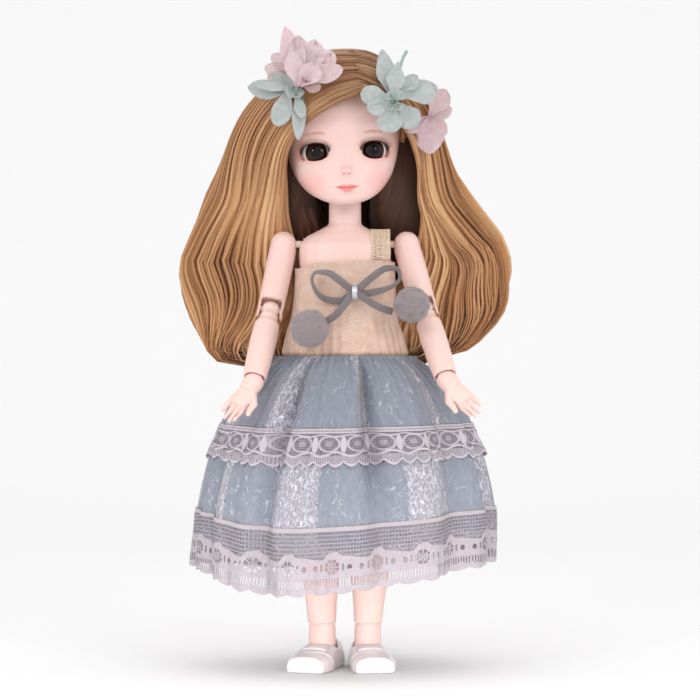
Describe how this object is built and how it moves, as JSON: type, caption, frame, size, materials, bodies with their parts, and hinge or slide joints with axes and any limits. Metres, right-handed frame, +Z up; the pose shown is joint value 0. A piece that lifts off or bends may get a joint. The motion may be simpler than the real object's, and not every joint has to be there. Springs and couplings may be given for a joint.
{
  "type": "ball jointed doll",
  "caption": "Ball jointed doll with long wavy hair, fabric flowers, a gathered patchwork dress with lace and strap shoes. It stands on its own soles.",
  "frame": {"origin": "on the floor under the middle of the doll's body", "axes": "+Z up, the doll faces -Y and its own left side is +X"},
  "size_m": [0.1532, 0.1214, 0.3091],
  "materials": {
    "bodice": "matte",
    "cord": "matte",
    "eye": "gloss",
    "hair": "satin",
    "hair_crown": "satin",
    "joint_plastic": "satin",
    "lace": "matte",
    "lash": "matte",
    "mint_petal": "matte",
    "pink_petal": "matte",
    "pompom": "matte",
    "shoe": "gloss",
    "silver": "polished",
    "skin": "satin",
    "skirt": "matte",
    "tulle": "matte"
  },
  "bodies": {
    "torso": {"torso_front": "skin", "torso_back": "skin", "bodice": "bodice", "shoulder_strap": "lace", "skirt": "skirt", "lace_band": "lace", "hem_lace": "lace", "bow": "cord", "bow_wrap": "silver", "left_pompom": "pompom", "right_pompom": "pompom"},
    "neck": {"neck_ball": "joint_plastic"},
    "head": {"face_shell": "skin", "head_back": "skin", "left_eye": "eye", "right_eye": "eye", "left_lashes": "lash", "right_lashes": "lash", "hair_crown": "hair_crown", "hair_left": "hair", "hair_right": "hair", "hair_back": "hair", "flower_pink_right": "pink_petal", "flower_mint_right": "mint_petal", "flower_mint_left": "mint_petal", "flower_pink_left": "pink_petal", "tulle_fan": "tulle"},
    "left_shoulder": {"left_shoulder_ball": "joint_plastic"},
    "left_upper_arm": {"left_upper_arm": "skin"},
    "left_elbow": {"left_elbow_ball": "joint_plastic"},
    "left_forearm": {"left_forearm": "skin"},
    "left_wrist": {"left_wrist_ball": "joint_plastic"},
    "left_hand": {"left_hand": "skin"},
    "left_hip": {"left_hip_ball": "joint_plastic"},
    "left_thigh": {"left_thigh": "skin"},
    "left_knee": {"left_knee_ball": "joint_plastic"},
    "left_calf": {"left_calf": "skin"},
    "left_ankle": {"left_ankle_ball": "joint_plastic"},
    "left_foot": {"left_foot": "skin", "left_shoe": "shoe"},
    "right_shoulder": {"right_shoulder_ball": "joint_plastic"},
    "right_upper_arm": {"right_upper_arm": "skin"},
    "right_elbow": {"right_elbow_ball": "joint_plastic"},
    "right_forearm": {"right_forearm": "skin"},
    "right_wrist": {"right_wrist_ball": "joint_plastic"},
    "right_hand": {"right_hand": "skin"},
    "right_hip": {"right_hip_ball": "joint_plastic"},
    "right_thigh": {"right_thigh": "skin"},
    "right_knee": {"right_knee_ball": "joint_plastic"},
    "right_calf": {"right_calf": "skin"},
    "right_ankle": {"right_ankle_ball": "joint_plastic"},
    "right_foot": {"right_foot": "skin", "right_shoe": "shoe"}
  },
  "joints": [
    {"name": "neck_nod", "type": "hinge", "parent": "torso", "child": "neck", "pos_m": [0, 0, 0.22194], "axis": [0.999, 0, 0.0436], "range_deg": [-18, 18], "deforming": ["hair_crown", "hair_left", "hair_right", "hair_back", "bodice", "shoulder_strap", "skirt", "lace_band", "hem_lace", "bow", "bow_wrap", "left_pompom", "right_pompom"]},
    {"name": "neck_turn", "type": "hinge", "parent": "neck", "child": "head", "pos_m": [0, 0, 0.22194], "axis": [-0.0436, 0, 0.999], "range_deg": [-80, 80], "deforming": ["hair_crown", "hair_left", "hair_right", "hair_back", "bodice", "shoulder_strap", "skirt", "lace_band", "hem_lace", "bow", "bow_wrap", "left_pompom", "right_pompom"]},
    {"name": "left_shoulder_swing", "type": "hinge", "parent": "torso", "child": "left_shoulder", "pos_m": [0.0295, 0, 0.20424], "axis": [-1, 0, 0], "range_deg": [-50, 150], "deforming": ["hair_crown", "hair_left", "hair_right", "hair_back", "flower_pink_right", "flower_mint_right", "flower_mint_left", "flower_pink_left", "tulle_fan", "bodice", "shoulder_strap", "skirt", "lace_band", "hem_lace", "bow", "bow_wrap", "left_pompom", "right_pompom"]},
    {"name": "left_shoulder_spread", "type": "hinge", "parent": "left_shoulder", "child": "left_upper_arm", "pos_m": [0.0295, 0, 0.20424], "axis": [0, -0.9816, 0.1908], "range_deg": [0, 80], "deforming": ["hair_crown", "hair_left", "hair_right", "hair_back", "flower_pink_right", "flower_mint_right", "flower_mint_left", "flower_pink_left", "tulle_fan", "bodice", "shoulder_strap", "skirt", "lace_band", "hem_lace", "bow", "bow_wrap", "left_pompom", "right_pompom"]},
    {"name": "left_elbow_bend", "type": "hinge", "parent": "left_upper_arm", "child": "left_elbow", "pos_m": [0.03804, -0.00608, 0.17295], "axis": [-0.9659, -0.0494, -0.2541], "range_deg": [-20, 70], "deforming": ["hair_crown", "hair_left", "hair_right", "hair_back", "flower_pink_right", "flower_mint_right", "flower_mint_left", "flower_pink_left", "tulle_fan", "bodice", "shoulder_strap", "skirt", "lace_band", "hem_lace", "bow", "bow_wrap", "left_pompom", "right_pompom"]},
    {"name": "left_elbow_twist", "type": "hinge", "parent": "left_elbow", "child": "left_forearm", "pos_m": [0.03804, -0.00608, 0.17295], "axis": [-0.2432, 0.5089, 0.8257], "range_deg": [-60, 60], "deforming": ["hair_crown", "hair_left", "hair_right", "hair_back", "flower_pink_right", "flower_mint_right", "flower_mint_left", "flower_pink_left", "tulle_fan", "bodice", "shoulder_strap", "skirt", "lace_band", "hem_lace", "bow", "bow_wrap", "left_pompom", "right_pompom"]},
    {"name": "left_wrist_twist", "type": "hinge", "parent": "left_forearm", "child": "left_wrist", "pos_m": [0.04801, -0.02695, 0.13909], "axis": [-0.2432, 0.5089, 0.8257], "range_deg": [-80, 80], "deforming": ["hair_crown", "hair_left", "hair_right", "hair_back", "flower_pink_right", "flower_mint_right", "flower_mint_left", "flower_pink_left", "tulle_fan", "bodice", "shoulder_strap", "skirt", "lace_band", "hem_lace", "bow", "bow_wrap", "left_pompom", "right_pompom"]},
    {"name": "left_wrist_bend", "type": "hinge", "parent": "left_wrist", "child": "left_hand", "pos_m": [0.04801, -0.02695, 0.13909], "axis": [0.1142, -0.8303, 0.5454], "range_deg": [-50, 8], "deforming": ["hair_crown", "hair_left", "hair_right", "hair_back", "flower_pink_right", "flower_mint_right", "flower_mint_left", "flower_pink_left", "tulle_fan", "bodice", "shoulder_strap", "skirt", "lace_band", "hem_lace", "bow", "bow_wrap", "left_pompom", "right_pompom"]},
    {"name": "left_hip_swing", "type": "hinge", "parent": "torso", "child": "left_hip", "pos_m": [0.0148, 0, 0.13494], "axis": [-1, 0, 0], "range_deg": [-20, 85], "deforming": ["bodice", "shoulder_strap", "skirt", "lace_band", "hem_lace", "bow", "bow_wrap", "left_pompom", "right_pompom"]},
    {"name": "left_hip_spread", "type": "hinge", "parent": "left_hip", "child": "left_thigh", "pos_m": [0.0148, 0, 0.13494], "axis": [0, -1, 0], "range_deg": [0, 35], "deforming": ["bodice", "shoulder_strap", "skirt", "lace_band", "hem_lace", "bow", "bow_wrap", "left_pompom", "right_pompom"]},
    {"name": "left_knee_bend", "type": "hinge", "parent": "left_thigh", "child": "left_knee", "pos_m": [0.0129, 0, 0.07697], "axis": [0.9995, 0, -0.0328], "range_deg": [0, 82], "deforming": ["bodice", "shoulder_strap", "skirt", "lace_band", "hem_lace", "bow", "bow_wrap", "left_pompom", "right_pompom"]},
    {"name": "left_knee_twist", "type": "hinge", "parent": "left_knee", "child": "left_calf", "pos_m": [0.0129, 0, 0.07697], "axis": [0.0328, 0, 0.9995], "range_deg": [-5, 8], "deforming": ["bodice", "shoulder_strap", "skirt", "lace_band", "hem_lace", "bow", "bow_wrap", "left_pompom", "right_pompom"]},
    {"name": "left_ankle_twist", "type": "hinge", "parent": "left_calf", "child": "left_ankle", "pos_m": [0.011, 0, 0.019], "axis": [0.0328, 0, 0.9995], "range_deg": [-8, 10], "deforming": ["bodice", "shoulder_strap", "skirt", "lace_band", "hem_lace", "bow", "bow_wrap", "left_pompom", "right_pompom"]},
    {"name": "left_ankle_bend", "type": "hinge", "parent": "left_ankle", "child": "left_foot", "pos_m": [0.011, 0, 0.019], "axis": [0.992, 0.1219, -0.0325], "range_deg": [-28, 28], "deforming": ["bodice", "shoulder_strap", "skirt", "lace_band", "hem_lace", "bow", "bow_wrap", "left_pompom", "right_pompom"]},
    {"name": "right_shoulder_swing", "type": "hinge", "parent": "torso", "child": "right_shoulder", "pos_m": [-0.0295, 0, 0.20424], "axis": [-1, 0, 0], "range_deg": [-50, 150], "deforming": ["hair_crown", "hair_left", "hair_right", "hair_back", "flower_pink_right", "flower_mint_right", "flower_mint_left", "flower_pink_left", "tulle_fan", "bodice", "shoulder_strap", "skirt", "lace_band", "hem_lace", "bow", "bow_wrap", "left_pompom", "right_pompom"]},
    {"name": "right_shoulder_spread", "type": "hinge", "parent": "right_shoulder", "child": "right_upper_arm", "pos_m": [-0.0295, 0, 0.20424], "axis": [0, 0.9816, -0.1908], "range_deg": [0, 80], "deforming": ["hair_crown", "hair_left", "hair_right", "hair_back", "flower_pink_right", "flower_mint_right", "flower_mint_left", "flower_pink_left", "tulle_fan", "bodice", "shoulder_strap", "skirt", "lace_band", "hem_lace", "bow", "bow_wrap", "left_pompom", "right_pompom"]},
    {"name": "right_elbow_bend", "type": "hinge", "parent": "right_upper_arm", "child": "right_elbow", "pos_m": [-0.0358, -0.00618, 0.17244], "axis": [-0.9816, 0.0364, 0.1873], "range_deg": [-20, 70], "deforming": ["hair_crown", "hair_left", "hair_right", "hair_back", "flower_pink_right", "flower_mint_right", "flower_mint_left", "flower_pink_left", "tulle_fan", "bodice", "shoulder_strap", "skirt", "lace_band", "hem_lace", "bow", "bow_wrap", "left_pompom", "right_pompom"]},
    {"name": "right_elbow_twist", "type": "hinge", "parent": "right_elbow", "child": "right_forearm", "pos_m": [-0.0358, -0.00618, 0.17244], "axis": [-0.1793, -0.5117, -0.8402], "range_deg": [-60, 60], "deforming": ["hair_crown", "hair_left", "hair_right", "hair_back", "flower_pink_right", "flower_mint_right", "flower_mint_left", "flower_pink_left", "tulle_fan", "bodice", "shoulder_strap", "skirt", "lace_band", "hem_lace", "bow", "bow_wrap", "left_pompom", "right_pompom"]},
    {"name": "right_wrist_twist", "type": "hinge", "parent": "right_forearm", "child": "right_wrist", "pos_m": [-0.04315, -0.02716, 0.13799], "axis": [-0.1793, -0.5117, -0.8402], "range_deg": [-80, 80], "deforming": ["hair_crown", "hair_left", "hair_right", "hair_back", "flower_pink_right", "flower_mint_right", "flower_mint_left", "flower_pink_left", "tulle_fan", "bodice", "shoulder_strap", "skirt", "lace_band", "hem_lace", "bow", "bow_wrap", "left_pompom", "right_pompom"]},
    {"name": "right_wrist_bend", "type": "hinge", "parent": "right_wrist", "child": "right_hand", "pos_m": [-0.04315, -0.02716, 0.13799], "axis": [0.1403, 0.832, -0.5367], "range_deg": [-50, 8], "deforming": ["hair_crown", "hair_left", "hair_right", "hair_back", "flower_pink_right", "flower_mint_right", "flower_mint_left", "flower_pink_left", "tulle_fan", "bodice", "shoulder_strap", "skirt", "lace_band", "hem_lace", "bow", "bow_wrap", "left_pompom", "right_pompom"]},
    {"name": "right_hip_swing", "type": "hinge", "parent": "torso", "child": "right_hip", "pos_m": [-0.0148, 0, 0.13494], "axis": [-1, 0, 0], "range_deg": [-20, 85], "deforming": ["bodice", "shoulder_strap", "skirt", "lace_band", "hem_lace", "bow", "bow_wrap", "left_pompom", "right_pompom"]},
    {"name": "right_hip_spread", "type": "hinge", "parent": "right_hip", "child": "right_thigh", "pos_m": [-0.0148, 0, 0.13494], "axis": [0, 1, 0], "range_deg": [0, 35], "deforming": ["bodice", "shoulder_strap", "skirt", "lace_band", "hem_lace", "bow", "bow_wrap", "left_pompom", "right_pompom"]},
    {"name": "right_knee_bend", "type": "hinge", "parent": "right_thigh", "child": "right_knee", "pos_m": [-0.0129, 0, 0.07697], "axis": [0.9995, 0, 0.0328], "range_deg": [0, 82], "deforming": ["bodice", "shoulder_strap", "skirt", "lace_band", "hem_lace", "bow", "bow_wrap", "left_pompom", "right_pompom"]},
    {"name": "right_knee_twist", "type": "hinge", "parent": "right_knee", "child": "right_calf", "pos_m": [-0.0129, 0, 0.07697], "axis": [0.0328, 0, -0.9995], "range_deg": [-5, 8], "deforming": ["bodice", "shoulder_strap", "skirt", "lace_band", "hem_lace", "bow", "bow_wrap", "left_pompom", "right_pompom"]},
    {"name": "right_ankle_twist", "type": "hinge", "parent": "right_calf", "child": "right_ankle", "pos_m": [-0.011, 0, 0.019], "axis": [0.0328, 0, -0.9995], "range_deg": [-8, 10], "deforming": ["bodice", "shoulder_strap", "skirt", "lace_band", "hem_lace", "bow", "bow_wrap", "left_pompom", "right_pompom"]},
    {"name": "right_ankle_bend", "type": "hinge", "parent": "right_ankle", "child": "right_foot", "pos_m": [-0.011, 0, 0.019], "axis": [0.9505, -0.309, 0.0312], "range_deg": [-28, 28], "deforming": ["bodice", "shoulder_strap", "skirt", "lace_band", "hem_lace", "bow", "bow_wrap", "left_pompom", "right_pompom"]}
  ]
}
